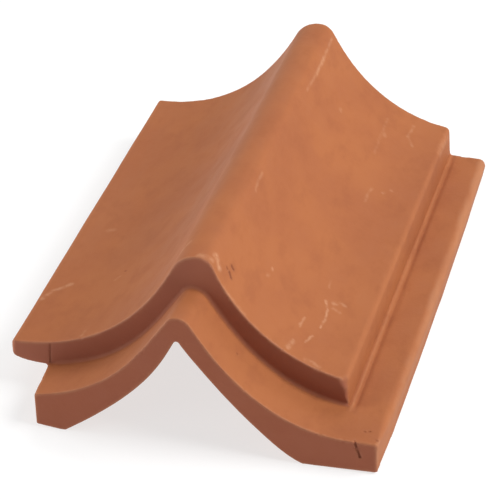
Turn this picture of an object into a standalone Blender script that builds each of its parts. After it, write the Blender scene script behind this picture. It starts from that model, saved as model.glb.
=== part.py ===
"""A decorative ridge tile of fired clay, one solid piece.

Metres, +Z up. The tile's ridge runs along Y and its front end, the one with the
low lip, faces -Y. Sizes are measured from the ridge line, from the front of the
lip and from the ground; the finished tile is then centred on its bounding box.
"""

import math

import bmesh
import bpy
from mathutils import Vector

# Overall
LENGTH = 0.400
CUTTER_SPARE = 0.030

# Upper layer: a rounded ridge between two hollow flanks. Its crown is rounder on the left, and lower at the back
FRONT_CROWN_X = 0.0033
FRONT_CROWN_HEIGHT = 0.1265
FRONT_CROWN_LEFT_RADIUS = 0.0202
FRONT_CROWN_LEFT_TURN = math.radians(62.5)
FRONT_CROWN_RIGHT_RADIUS = 0.0113
FRONT_CROWN_RIGHT_TURN = math.radians(68.6)
BACK_CROWN_X = 0.0025
BACK_CROWN_HEIGHT = 0.124
BACK_CROWN_LEFT_RADIUS = 0.0212
BACK_CROWN_LEFT_TURN = math.radians(60.9)
BACK_CROWN_RIGHT_RADIUS = 0.0128
BACK_CROWN_RIGHT_TURN = math.radians(62.7)
LEFT_FLANK_TOP_PULL = 0.0538
LEFT_FLANK_EDGE_PULL = 0.0568
LEFT_FLANK_EDGE_HEIGHT = 0.0389
RIGHT_FLANK_TOP_PULL = 0.0288
RIGHT_FLANK_EDGE_PULL = 0.0768
RIGHT_FLANK_EDGE_HEIGHT = 0.0396
FLANK_EDGE_X = 0.1345

# Lower layer, seen as a lip in front of the upper one
LIP_DEPTH = 0.042
LIP_CROWN_X = -0.0006
LIP_CROWN_HEIGHT = 0.1049
LIP_LEFT_RADIUS = 0.0077
LIP_LEFT_TURN = math.radians(54.0)
LIP_LEFT_TOP_PULL = 0.042
LIP_LEFT_EDGE_PULL = 0.0812
LIP_LEFT_EDGE_HEIGHT = 0.0248
LIP_RIGHT_RADIUS = 0.0113
LIP_RIGHT_TURN = math.radians(54.8)
LIP_RIGHT_TOP_PULL = 0.0153
LIP_RIGHT_EDGE_PULL = 0.0683
LIP_RIGHT_LEVEL_X = 0.1185
LIP_RIGHT_LEVEL_HEIGHT = 0.02425
LIP_RIGHT_LEVEL_FALL = 0.0004
LIP_FALL = 0.0032
LIP_LEFT_X = -0.1043
LIP_LEFT_WIDENS = 0.0042
LIP_RIGHT_X = 0.1349
LIP_RIGHT_WIDENS = 0.00125
LIP_INTO_BODY = 0.006
LIP_LEFT_FOOT_RISE = 0.0022
LIP_RIGHT_FOOT_RISE = 0.0012
LIP_FOOT_FLAT = 0.004

# Overhang on the left, which laps over the next tile; its underside sags a little
OVERHANG_X = -0.135
OVERHANG_UNDER_HEIGHT = 0.0223
OVERHANG_UNDER_PULL = 0.0108
OVERHANG_TIP_HEIGHT = 0.0272
OVERHANG_TIP_TURN = math.radians(31.0)
OVERHANG_TIP_PULL = 0.007
OVERHANG_TIP_RADIUS = 0.003
REBATE_WALL_X = -0.1098
REBATE_CORNER_RADIUS = 0.0015

# Step and flange on the right, which the next tile laps over; the flange bows out a little along its length
STEP_X = 0.105
STEP_FOOT_OUT = 0.0012
STEP_TOP_RADIUS = 0.0042
STEP_FOOT_RADIUS = 0.002
STEP_DRIFT = 0.004
FLANGE_X = 0.1362
FLANGE_BOW = 0.0011
FLANGE_DRIFT = 0.0006
FLANGE_LEAN = 0.0036
FLANGE_EDGE_RADIUS = 0.0055
FLANGE_HEIGHT = 0.0212
FLANGE_BACK_DROP = 0.0037
FLANGE_EDGE_FALL = 0.0011

# Hollow under the ridge: two sides of unlike curve that meet in a rounded top
HOLLOW_TOP_X = -0.001
HOLLOW_TOP_HEIGHT = 0.088
HOLLOW_TOP_RADIUS = 0.002
HOLLOW_LEFT_FOOT_X = -0.0835
HOLLOW_LEFT_TOP_TURN = math.radians(60.0)
HOLLOW_LEFT_FOOT_TURN = math.radians(34.5)
HOLLOW_LEFT_TOP_PULL = 0.021
HOLLOW_LEFT_FOOT_PULL = 0.079
HOLLOW_RIGHT_FOOT_X = 0.0838
HOLLOW_RIGHT_TOP_TURN = math.radians(63.3)
HOLLOW_RIGHT_FOOT_TURN = math.radians(19.1)
HOLLOW_RIGHT_TOP_PULL = 0.0124
HOLLOW_RIGHT_FOOT_PULL = 0.0267
HOLLOW_BELOW = 0.006

# Soft edges from the mould, and how finely curves are faceted
EDGE_ROUND = 0.0016
EDGE_STEPS = 3
EDGE_ANGLE = math.radians(34)
SLIVER = 0.00002
CURVE_FACETS = 40
CROWN_REACH = 0.021
CROWN_PITCH = 0.0027
FLANK_PITCH = 0.0048
CORNER_FACETS = 5
UNDER_FACETS = 5
HOLLOW_FACETS = 18

CLAY_COLOUR = (0.42, 0.155, 0.075, 1.0)
CLAY_ROUGHNESS = 0.78


def clear_scene():
    for obj in list(bpy.data.objects):
        bpy.data.objects.remove(obj, do_unlink=True)


def new_collection(name, helpers=False):
    collection = bpy.data.collections.new(name)
    bpy.context.scene.collection.children.link(collection)
    collection.hide_render = helpers
    return collection


def fair_curve(start, start_turn, start_pull, end, end_turn, end_pull, facets):
    """A curve down and out from start to end; each turn is the slope below level there."""
    side = math.copysign(1.0, end[0] - start[0])
    a = Vector(start)
    d = Vector(end)
    b = a + start_pull * Vector((side * math.cos(start_turn), -math.sin(start_turn)))
    c = d - end_pull * Vector((side * math.cos(end_turn), -math.sin(end_turn)))
    points = []
    for step in range(facets + 1):
        t = step / facets
        s = 1 - t
        point = s**3 * a + 3 * s * s * t * b + 3 * s * t * t * c + t**3 * d
        points.append(tuple(point))
    return points


def half_profile(crown, radius, turn, top_pull, edge, edge_turn, edge_pull):
    """From the crown out to one edge: an arc, then a hollow flank."""
    side = math.copysign(1.0, edge[0])
    points = []
    for step in range(CURVE_FACETS + 1):
        angle = turn * step / CURVE_FACETS
        points.append((crown[0] + side * radius * math.sin(angle), crown[1] - radius * (1 - math.cos(angle))))
    return points + fair_curve(points[-1], turn, top_pull, edge, edge_turn, edge_pull, CURVE_FACETS)[1:]


def height_at(profile, x):
    """Height of a profile that runs from left to right; past its ends it stays level."""
    for (x0, z0), (x1, z1) in zip(profile, profile[1:]):
        if x <= x1:
            return z0 + (z1 - z0) * max(x - x0, 0.0) / (x1 - x0)
    return profile[-1][1]


def stations(left, right):
    """Where a profile is sampled from left to right, closer together over the crown."""
    found = [left]
    while True:
        near_crown = abs(found[-1] - FRONT_CROWN_X) < CROWN_REACH
        following = found[-1] + (CROWN_PITCH if near_crown else FLANK_PITCH)
        if following > right - FLANK_PITCH / 2:
            return found + [right]
        found.append(following)


def between(low, high, share):
    return low + (high - low) * share


def upper_profile(back):
    """The whole ridge line of the main body, left to right; back is 0 behind the lip and 1 at the far end."""
    crown = (between(FRONT_CROWN_X, BACK_CROWN_X, back), between(FRONT_CROWN_HEIGHT, BACK_CROWN_HEIGHT, back))
    left = half_profile(crown, between(FRONT_CROWN_LEFT_RADIUS, BACK_CROWN_LEFT_RADIUS, back),
                        between(FRONT_CROWN_LEFT_TURN, BACK_CROWN_LEFT_TURN, back), LEFT_FLANK_TOP_PULL,
                        (-FLANK_EDGE_X, LEFT_FLANK_EDGE_HEIGHT), 0.0, LEFT_FLANK_EDGE_PULL)
    right = half_profile(crown, between(FRONT_CROWN_RIGHT_RADIUS, BACK_CROWN_RIGHT_RADIUS, back),
                         between(FRONT_CROWN_RIGHT_TURN, BACK_CROWN_RIGHT_TURN, back), RIGHT_FLANK_TOP_PULL,
                         (FLANK_EDGE_X, RIGHT_FLANK_EDGE_HEIGHT), 0.0, RIGHT_FLANK_EDGE_PULL)
    return left[::-1] + right[1:]


def lip_profile():
    """The ridge line of the lip at its front, left to right."""
    crown = (LIP_CROWN_X, LIP_CROWN_HEIGHT)
    left = half_profile(crown, LIP_LEFT_RADIUS, LIP_LEFT_TURN, LIP_LEFT_TOP_PULL,
                        (-FLANK_EDGE_X, LIP_LEFT_EDGE_HEIGHT), 0.0, LIP_LEFT_EDGE_PULL)
    right = half_profile(crown, LIP_RIGHT_RADIUS, LIP_RIGHT_TURN, LIP_RIGHT_TOP_PULL,
                         (LIP_RIGHT_LEVEL_X, LIP_RIGHT_LEVEL_HEIGHT), 0.0, LIP_RIGHT_EDGE_PULL)
    return left[::-1] + right[1:] + [(FLANK_EDGE_X, LIP_RIGHT_LEVEL_HEIGHT - LIP_RIGHT_LEVEL_FALL)]


def rounded(points, corners):
    """A closed outline with the corners named in corners, {point index: radius}, turned to arcs."""
    outline = []
    for i, point in enumerate(points):
        if i not in corners:
            outline.append(point)
            continue
        here = Vector(point)
        before = (Vector(points[i - 1]) - here).normalized()
        after = (Vector(points[(i + 1) % len(points)]) - here).normalized()
        half = before.angle(after) / 2
        reach = corners[i] / math.tan(half)
        centre = here + (before + after).normalized() * corners[i] / math.sin(half)
        first = here + before * reach - centre
        turn = (here + after * reach - centre).angle_signed(first)
        for step in range(CORNER_FACETS + 1):
            angle = turn * step / CORNER_FACETS
            ray = Vector((first.x * math.cos(angle) - first.y * math.sin(angle),
                          first.x * math.sin(angle) + first.y * math.cos(angle)))
            outline.append(tuple(centre + ray))
    return outline


def upper_outline(back):
    """Section of the main body: back is 0 behind the lip and 1 at the far end."""
    step_x = STEP_X + STEP_DRIFT * back
    flange_x = FLANGE_X + FLANGE_DRIFT * back + FLANGE_BOW * 4 * back * (1 - back)
    flange_height = FLANGE_HEIGHT - FLANGE_BACK_DROP * back
    profile = upper_profile(back)
    near_edges = stations(OVERHANG_X + 2 * OVERHANG_TIP_RADIUS, STEP_X - 2 * STEP_TOP_RADIUS)
    top = [(OVERHANG_X, LEFT_FLANK_EDGE_HEIGHT)] + [(x, height_at(profile, x)) for x in near_edges]
    underside = fair_curve((REBATE_WALL_X, OVERHANG_UNDER_HEIGHT), 0.0, OVERHANG_UNDER_PULL,
                           (OVERHANG_X, OVERHANG_TIP_HEIGHT), -OVERHANG_TIP_TURN, OVERHANG_TIP_PULL, UNDER_FACETS)
    points = top + [
        (step_x, height_at(profile, step_x)),
        (step_x + STEP_FOOT_OUT, flange_height),
        (flange_x + FLANGE_LEAN * back, flange_height - FLANGE_EDGE_FALL),
        (flange_x, 0.0),
        (REBATE_WALL_X, 0.0),
    ] + underside
    n = len(top)
    corners = {
        0: OVERHANG_TIP_RADIUS,
        n: STEP_TOP_RADIUS,
        n + 1: STEP_FOOT_RADIUS,
        n + 2: FLANGE_EDGE_RADIUS,
        n + 5: REBATE_CORNER_RADIUS,
        len(points) - 1: OVERHANG_TIP_RADIUS,
    }
    return rounded(points, corners)


def lip_outline(depth):
    """Section of the lip at this depth behind its front: it widens and its top falls on the way back."""
    share = depth / LIP_DEPTH
    within = min(share, 1.0)
    left = LIP_LEFT_X - LIP_LEFT_WIDENS * within
    right = LIP_RIGHT_X + LIP_RIGHT_WIDENS * within
    profile = lip_profile()
    top = [(x, height_at(profile, x) - LIP_FALL * share) for x in stations(LIP_LEFT_X, LIP_RIGHT_X)]
    top[0] = (left, height_at(profile, left) - LIP_FALL * share)
    top[-1] = (right, height_at(profile, right) - LIP_FALL * share)
    feet = [
        (right, LIP_RIGHT_FOOT_RISE * (1 - within)),
        (HOLLOW_RIGHT_FOOT_X + LIP_FOOT_FLAT, 0.0),
        (HOLLOW_LEFT_FOOT_X - LIP_FOOT_FLAT, 0.0),
        (left, LIP_LEFT_FOOT_RISE * (1 - within)),
    ]
    return top + feet


def grown(outline, by):
    """The outline with each point moved outward by this much; the outline runs clockwise."""
    moved = []
    for i, point in enumerate(outline):
        along = Vector(outline[(i + 1) % len(outline)]) - Vector(outline[i - 1])
        outward = Vector((-along.y, along.x)).normalized()
        moved.append(tuple(Vector(point) + outward * by))
    return moved


def hollow_side(foot_x, top_turn, top_pull, foot_turn, foot_pull):
    """One side of the hollow, from its top to below the ground, clear of the rounded top."""
    curve = fair_curve((HOLLOW_TOP_X, HOLLOW_TOP_HEIGHT), top_turn, top_pull, (foot_x, 0.0),
                       foot_turn, foot_pull, HOLLOW_FACETS)
    clear = HOLLOW_TOP_HEIGHT - 2 * HOLLOW_TOP_RADIUS
    side = curve[:1] + [(x, z) for x, z in curve[1:] if z < clear]
    outward = math.copysign(HOLLOW_BELOW / math.tan(foot_turn), foot_x)
    return side + [(foot_x + outward, -HOLLOW_BELOW)]


def hollow_outline():
    """Section of the hollow: two sides that meet in a rounded top, carried on below the ground."""
    left = hollow_side(HOLLOW_LEFT_FOOT_X, HOLLOW_LEFT_TOP_TURN, HOLLOW_LEFT_TOP_PULL,
                       HOLLOW_LEFT_FOOT_TURN, HOLLOW_LEFT_FOOT_PULL)
    right = hollow_side(HOLLOW_RIGHT_FOOT_X, HOLLOW_RIGHT_TOP_TURN, HOLLOW_RIGHT_TOP_PULL,
                        HOLLOW_RIGHT_FOOT_TURN, HOLLOW_RIGHT_FOOT_PULL)
    return rounded(left[:0:-1] + right, {len(left) - 1: HOLLOW_TOP_RADIUS})


def hollow_sections():
    """The hollow from end to end, its mouths opened out in a quarter round."""
    outline = hollow_outline()
    mouth = []
    for step in range(EDGE_STEPS + 1):
        angle = math.pi / 2 * step / EDGE_STEPS
        mouth.append((EDGE_ROUND * (1 - math.cos(angle)), grown(outline, EDGE_ROUND * (1 - math.sin(angle)))))
    front = [(-CUTTER_SPARE, mouth[0][1])] + mouth
    back = [(LENGTH - y, section) for y, section in reversed(front)]
    return front + back


def loft(name, sections, collection):
    """A closed mesh through outlines of equal length, [(y, outline)], with flat ends."""
    build = bmesh.new()
    rings = [[build.verts.new((x, y, z)) for x, z in outline] for y, outline in sections]
    for ring, following in zip(rings, rings[1:]):
        for i in range(len(ring)):
            j = (i + 1) % len(ring)
            build.faces.new((ring[i], ring[j], following[j], following[i]))
    build.faces.new(rings[0])
    build.faces.new(list(reversed(rings[-1])))
    bmesh.ops.recalc_face_normals(build, faces=build.faces)
    mesh = bpy.data.meshes.new(name)
    build.to_mesh(mesh)
    build.free()
    obj = bpy.data.objects.new(name, mesh)
    collection.objects.link(obj)
    return obj


def add_boolean(obj, other, operation):
    modifier = obj.modifiers.new(other.name, "BOOLEAN")
    modifier.operation = operation
    modifier.solver = "EXACT"
    modifier.object = other


def add_soft_edges(obj):
    modifier = obj.modifiers.new("soft mould edges", "BEVEL")
    modifier.width = EDGE_ROUND
    modifier.segments = EDGE_STEPS
    modifier.limit_method = "ANGLE"
    modifier.angle_limit = EDGE_ANGLE
    modifier.miter_outer = "MITER_ARC"
    modifier.use_clamp_overlap = True


def merge_slivers(mesh):
    """Merges the near-double points that the joins and cuts leave."""
    build = bmesh.new()
    build.from_mesh(mesh)
    bmesh.ops.remove_doubles(build, verts=build.verts, dist=SLIVER)
    bmesh.ops.dissolve_degenerate(build, edges=build.edges, dist=SLIVER)
    build.to_mesh(mesh)
    build.free()


def settle(obj):
    """Applies the modifiers, then centres the tile on its bounding box with its feet on the ground."""
    graph = bpy.context.evaluated_depsgraph_get()
    mesh = bpy.data.meshes.new_from_object(obj.evaluated_get(graph))
    obj.modifiers.clear()
    obj.data = mesh
    merge_slivers(mesh)
    xs = [vertex.co.x for vertex in mesh.vertices]
    shift = Vector((-(min(xs) + max(xs)) / 2, -LENGTH / 2, 0.0))
    for vertex in mesh.vertices:
        vertex.co += shift
    for polygon in mesh.polygons:
        polygon.use_smooth = False


def hide_helper(obj):
    obj.hide_render = True
    obj.display_type = "WIRE"


def clay_material():
    material = bpy.data.materials.new("fired clay")
    material.use_nodes = True
    shader = material.node_tree.nodes["Principled BSDF"]
    shader.inputs["Base Color"].default_value = CLAY_COLOUR
    shader.inputs["Roughness"].default_value = CLAY_ROUGHNESS
    shader.inputs["Metallic"].default_value = 0.0
    return material


def ridge_tile():
    tile_parts = new_collection("decorative ridge tile")
    cutters = new_collection("shapes joined and cut", helpers=True)

    body_places = [(between(LIP_DEPTH, LENGTH, back), upper_outline(back)) for back in (0.0, 0.5, 1.0)]
    lip_places = [(depth, lip_outline(depth)) for depth in (0.0, LIP_DEPTH, LIP_DEPTH + LIP_INTO_BODY)]
    tile = loft("ridge_tile", body_places, tile_parts)
    lip = loft("lip", lip_places, cutters)
    hollow = loft("hollow", hollow_sections(), cutters)
    hide_helper(lip)
    hide_helper(hollow)

    add_soft_edges(lip)
    add_soft_edges(tile)
    add_boolean(tile, lip, "UNION")
    add_boolean(tile, hollow, "DIFFERENCE")
    settle(tile)
    tile.data.materials.clear()
    tile.data.materials.append(clay_material())


clear_scene()
ridge_tile()
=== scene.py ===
# %% [markdown]
# # A decorative ridge tile, pressed from clay and fired
#
# The real tile is one heavy piece of terracotta. A rounded ridge runs along it
# between two hollow flanks. In front a lower lip stands out, which the next tile
# laps over; on the left the tile overhangs a rebate, and on the right a step
# leads down to a flange. This lesson makes the tile the way a press would: first
# exact sections, then one even skin of clay over them, then the seams, knocks
# and scratches, and at last the colour and the light.

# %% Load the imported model
import math

import bmesh
import bpy
import numpy as np
from mathutils import Matrix, Vector
from mathutils.bvhtree import BVHTree


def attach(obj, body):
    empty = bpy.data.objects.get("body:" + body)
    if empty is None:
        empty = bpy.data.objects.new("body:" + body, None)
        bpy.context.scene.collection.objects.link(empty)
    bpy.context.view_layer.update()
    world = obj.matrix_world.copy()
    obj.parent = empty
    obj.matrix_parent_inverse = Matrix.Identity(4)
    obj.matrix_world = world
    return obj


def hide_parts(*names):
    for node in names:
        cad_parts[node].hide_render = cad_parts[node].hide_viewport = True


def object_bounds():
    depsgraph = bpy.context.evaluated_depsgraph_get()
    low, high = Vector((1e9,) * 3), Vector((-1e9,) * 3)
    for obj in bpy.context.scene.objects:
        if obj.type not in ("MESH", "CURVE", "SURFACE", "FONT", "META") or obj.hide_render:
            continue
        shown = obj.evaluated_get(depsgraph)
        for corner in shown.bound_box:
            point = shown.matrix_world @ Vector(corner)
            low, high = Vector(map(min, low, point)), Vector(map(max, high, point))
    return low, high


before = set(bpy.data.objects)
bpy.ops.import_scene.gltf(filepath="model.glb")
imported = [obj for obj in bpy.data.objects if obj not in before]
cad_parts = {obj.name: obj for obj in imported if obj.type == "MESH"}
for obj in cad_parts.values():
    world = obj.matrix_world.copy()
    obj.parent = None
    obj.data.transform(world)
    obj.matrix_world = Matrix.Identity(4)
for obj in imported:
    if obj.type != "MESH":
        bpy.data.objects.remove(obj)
cad_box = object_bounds()
print("packed box", cad_box)

# %% [markdown]
# ## Sizes
#
# All sizes are in metres. They are measured from the ridge line (x), from the
# front of the lip (y) and from the ground (z), as on a maker's drawing. The
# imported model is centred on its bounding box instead, so one shift at the end
# carries the finished mesh over to it.

# %% Sizes of the tile
LENGTH = 0.400

# The crown is rounder on the left than on the right, and lower at the back.
FRONT_CROWN = dict(x=0.0033, height=0.1265, radii=(0.0202, 0.0113), turns=(62.5, 68.6))
BACK_CROWN = dict(x=0.0025, height=0.124, radii=(0.0212, 0.0128), turns=(60.9, 62.7))
LEFT_FLANK = dict(edge=(-0.1345, 0.0389), top_pull=0.0538, edge_pull=0.0568)
RIGHT_FLANK = dict(edge=(0.1345, 0.0396), top_pull=0.0288, edge_pull=0.0768)

LIP_CROWN = dict(x=-0.0006, height=0.1049, radii=(0.0077, 0.0113), turns=(54.0, 54.8))
LIP_LEFT_FLANK = dict(edge=(-0.1345, 0.0248), top_pull=0.042, edge_pull=0.0812)
LIP_RIGHT_FLANK = dict(edge=(0.1185, 0.02425), top_pull=0.0153, edge_pull=0.0683)
LIP_RIGHT_END = (0.1345, 0.02385)
LIP_DEPTH, LIP_FALL, LIP_INTO_BODY = 0.042, 0.0032, 0.006
LIP_LEFT, LIP_LEFT_WIDENS, LIP_LEFT_RISE = -0.1043, 0.0042, 0.0022
LIP_RIGHT, LIP_RIGHT_WIDENS, LIP_RIGHT_RISE = 0.1349, 0.00125, 0.0012
LIP_FOOT_FLAT = 0.004

OVERHANG_X, OVERHANG_UNDER, OVERHANG_TIP = -0.135, 0.0223, 0.0272
OVERHANG_TIP_TURN, OVERHANG_TIP_RADIUS = 31.0, 0.003
REBATE_X = -0.1098
STEP_X, STEP_DRIFT, STEP_FOOT_OUT = 0.105, 0.004, 0.0012
FLANGE_X, FLANGE_BOW, FLANGE_DRIFT, FLANGE_LEAN = 0.1362, 0.0011, 0.0006, 0.0036
FLANGE_HEIGHT, FLANGE_BACK_DROP, FLANGE_EDGE_FALL = 0.0212, 0.0037, 0.0011
LIP_EDGE_RADIUS, FLANGE_EDGE_RADIUS = 0.0012, 0.0055

HOLLOW_TOP = (-0.001, 0.088)
HOLLOW_TOP_RADIUS = 0.002
HOLLOW_LEFT = dict(foot=-0.0835, turns=(60.0, 34.5), pulls=(0.021, 0.079))
HOLLOW_RIGHT = dict(foot=0.0838, turns=(63.3, 19.1), pulls=(0.0124, 0.0267))
HOLLOW_BELOW = 0.006

# %% [markdown]
# ## Profile curves
#
# The ridge and its flanks are one line in section: an arc over the crown, then a
# hollow curve that levels out at the edge. A Bezier needs only its two ends,
# their slopes and how far each slope pulls, so a maker can read the numbers. The
# same curve also draws each side of the hollow underneath.

# %% Curve helpers
def fair_curve(start, start_turn, start_pull, end, end_turn, end_pull, facets=48):
    """Points of a Bezier that runs down and out; a turn is its slope below level."""
    side = math.copysign(1.0, end[0] - start[0])
    a, d = Vector(start), Vector(end)
    b = a + start_pull * Vector((side * math.cos(start_turn), -math.sin(start_turn)))
    c = d - end_pull * Vector((side * math.cos(end_turn), -math.sin(end_turn)))
    points = []
    for step in range(facets + 1):
        t = step / facets
        s = 1 - t
        points.append(tuple(s**3 * a + 3 * s * s * t * b + 3 * s * t * t * c + t**3 * d))
    return points


def half_profile(crown, radius, turn, edge, top_pull, edge_pull):
    """From the crown out to one edge: an arc, then the hollow flank."""
    side = math.copysign(1.0, edge[0])
    arc = []
    for step in range(25):
        angle = math.radians(turn) * step / 24
        arc.append((crown["x"] + side * radius * math.sin(angle),
                    crown["height"] - radius * (1 - math.cos(angle))))
    return arc + fair_curve(arc[-1], math.radians(turn), top_pull, edge, 0.0, edge_pull)[1:]


def profile_of(crown, left_flank, right_flank):
    left = half_profile(crown, crown["radii"][0], crown["turns"][0], **left_flank)
    right = half_profile(crown, crown["radii"][1], crown["turns"][1], **right_flank)
    return left[::-1] + right[1:]


def between(low, high, share):
    return low + (high - low) * share


def crown_at(back):
    """The crown this share of the way from the front of the body to its back."""
    front, rear = FRONT_CROWN, BACK_CROWN
    return dict(x=between(front["x"], rear["x"], back),
                height=between(front["height"], rear["height"], back),
                radii=[between(a, b, back) for a, b in zip(front["radii"], rear["radii"])],
                turns=[between(a, b, back) for a, b in zip(front["turns"], rear["turns"])])


def height_on(profile, x):
    xs, zs = zip(*profile)
    return float(np.interp(x, xs, zs))


def stations(left, right):
    """Where a profile is sampled from left to right, closer together over the crown."""
    found = [left]
    while True:
        pitch = 0.0010 if abs(found[-1]) < 0.028 else 0.0026
        if found[-1] + 1.6 * pitch > right:
            return found + [right]
        found.append(found[-1] + pitch)


print("a profile is sampled at", len(stations(OVERHANG_X, STEP_X)), "places")

# %% [markdown]
# ## Sections
#
# Corners that run the length of the tile were rounded by the mould, so they are
# arcs in the section itself. Front, middle and back sections of the body differ
# a little: the crown sinks, the step drifts outward, and the flange bows out and
# gets lower towards the back, as the photograph shows.

# %% Section helpers
def rounded(points, corners, facets=6):
    """The closed outline with each corner in {index: radius} turned to an arc."""
    outline = []
    for i, point in enumerate(points):
        if i not in corners:
            outline.append(point)
            continue
        here = Vector(point)
        before = (Vector(points[i - 1]) - here).normalized()
        after = (Vector(points[(i + 1) % len(points)]) - here).normalized()
        half = before.angle(after) / 2
        centre = here + (before + after).normalized() * corners[i] / math.sin(half)
        reach = corners[i] / math.tan(half)
        first = here + before * reach - centre
        turn = (here + after * reach - centre).angle_signed(first)
        for step in range(facets + 1):
            spin = Matrix.Rotation(turn * step / facets, 2)
            outline.append(tuple(centre + spin @ first))
    return outline


def overhang_underside():
    """From the corner of the rebate out to the tip of the overhang."""
    return fair_curve((REBATE_X, OVERHANG_UNDER), 0.0, 0.0108, (OVERHANG_X, OVERHANG_TIP),
                      -math.radians(OVERHANG_TIP_TURN), 0.007, facets=6)


def body_section(back):
    """Across the main body; back is 0 behind the lip and 1 at the far end."""
    step_x = STEP_X + STEP_DRIFT * back
    flange_x = FLANGE_X + FLANGE_DRIFT * back + FLANGE_BOW * 4 * back * (1 - back)
    flange_height = FLANGE_HEIGHT - FLANGE_BACK_DROP * back
    profile = profile_of(crown_at(back), LEFT_FLANK, RIGHT_FLANK)
    near_edges = stations(OVERHANG_X + 2 * OVERHANG_TIP_RADIUS, STEP_X - 0.0084)
    top = [(OVERHANG_X, LEFT_FLANK["edge"][1])]
    top += [(x, height_on(profile, x)) for x in near_edges]
    points = top + [
        (step_x, height_on(profile, step_x)),
        (step_x + STEP_FOOT_OUT, flange_height),
        (flange_x + FLANGE_LEAN * back, flange_height - FLANGE_EDGE_FALL),
        (flange_x, 0.0),
        (REBATE_X, 0.0),
    ] + overhang_underside()
    n = len(top)
    return rounded(points, {0: OVERHANG_TIP_RADIUS, n: 0.0042, n + 1: 0.002, n + 2: FLANGE_EDGE_RADIUS,
                            n + 5: 0.0015, len(points) - 1: OVERHANG_TIP_RADIUS})


def lip_top(depth):
    """The top of the lip this far behind its front: it widens as it falls."""
    share = depth / LIP_DEPTH
    within = min(share, 1.0)
    left = LIP_LEFT - LIP_LEFT_WIDENS * within
    right = LIP_RIGHT + LIP_RIGHT_WIDENS * within
    profile = profile_of(LIP_CROWN, LIP_LEFT_FLANK, LIP_RIGHT_FLANK) + [LIP_RIGHT_END]
    places = [left] + stations(LIP_LEFT, LIP_RIGHT)[2:-3] + [right]
    return [(x, height_on(profile, x) - LIP_FALL * share) for x in places]


def lip_section(depth):
    """Across the whole lip; its right edge gets rounder until it meets the flange."""
    within = min(depth / LIP_DEPTH, 1.0)
    top = lip_top(depth)
    left, right = top[0][0], top[-1][0]
    feet = [(right, LIP_RIGHT_RISE * (1 - within)),
            (HOLLOW_RIGHT["foot"] + LIP_FOOT_FLAT, 0.0),
            (HOLLOW_LEFT["foot"] - LIP_FOOT_FLAT, 0.0),
            (left, LIP_LEFT_RISE * (1 - within))]
    radius = between(LIP_EDGE_RADIUS, FLANGE_EDGE_RADIUS, within)
    return rounded(top + feet, {len(top) - 1: radius})


def hollow_side(foot, turns, pulls):
    """One side of the hollow, from its top to below the ground, clear of the rounded top."""
    top_turn, foot_turn = (math.radians(turn) for turn in turns)
    curve = fair_curve(HOLLOW_TOP, top_turn, pulls[0], (foot, 0.0), foot_turn, pulls[1])
    clear = HOLLOW_TOP[1] - 2 * HOLLOW_TOP_RADIUS
    side = curve[:1] + [(x, z) for x, z in curve[1:] if z < clear]
    outward = math.copysign(HOLLOW_BELOW / math.tan(foot_turn), foot)
    return side + [(foot + outward, -HOLLOW_BELOW)]


def hollow_section(grow):
    """Across the hollow under the ridge, opened out by grow."""
    left, right = hollow_side(**HOLLOW_LEFT), hollow_side(**HOLLOW_RIGHT)
    outline = rounded(left[:0:-1] + right, {len(left) - 1: HOLLOW_TOP_RADIUS})
    opened = []
    for i, point in enumerate(outline):
        along = Vector(outline[(i + 1) % len(outline)]) - Vector(outline[i - 1])
        outward = Vector((-along.y, along.x)).normalized()
        opened.append(tuple(Vector(point) + outward * grow))
    return opened


print("body section has", len(body_section(0.0)), "points")

# %% [markdown]
# ## The blank
#
# Each layer is a loft through its sections. The lip is joined to the body, the
# hollow is cut through both, and its mouths are opened in a quarter round. A
# bevel softens the ends first, because a pressed clay edge is never sharp.

# %% Loft, join and cut
EDGE_ROUND = 0.0008


def loft(name, sections):
    """A closed mesh through outlines of equal length, with flat ends."""
    build = bmesh.new()
    rings = [[build.verts.new((x, y, z)) for x, z in outline] for y, outline in sections]
    for ring, following in zip(rings, rings[1:]):
        for i in range(len(ring)):
            j = (i + 1) % len(ring)
            build.faces.new((ring[i], ring[j], following[j], following[i]))
    build.faces.new(rings[0])
    build.faces.new(rings[-1][::-1])
    bmesh.ops.recalc_face_normals(build, faces=build.faces)
    mesh = bpy.data.meshes.new(name)
    build.to_mesh(mesh)
    build.free()
    obj = bpy.data.objects.new(name, mesh)
    bpy.context.collection.objects.link(obj)
    return obj


def soften(obj):
    bevel = obj.modifiers.new("soft edges", "BEVEL")
    bevel.width = EDGE_ROUND
    bevel.segments = 5
    bevel.limit_method = "ANGLE"
    bevel.angle_limit = math.radians(34)
    bevel.miter_outer = "MITER_ARC"


def join_or_cut(obj, other, operation):
    boolean = obj.modifiers.new(other.name, "BOOLEAN")
    boolean.operation = operation
    boolean.solver = "EXACT"
    boolean.object = other


def bake(obj):
    """Turns the object with its modifiers into a plain mesh."""
    graph = bpy.context.evaluated_depsgraph_get()
    mesh = bpy.data.meshes.new_from_object(obj.evaluated_get(graph))
    obj.modifiers.clear()
    obj.data = mesh


def hollow_sections():
    mouth = []
    for step in range(7):
        angle = math.pi / 2 * step / 6
        mouth.append((EDGE_ROUND * (1 - math.cos(angle)),
                      hollow_section(EDGE_ROUND * (1 - math.sin(angle)))))
    front = [(-0.030, mouth[0][1])] + mouth
    return front + [(LENGTH - y, outline) for y, outline in reversed(front)]


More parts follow.
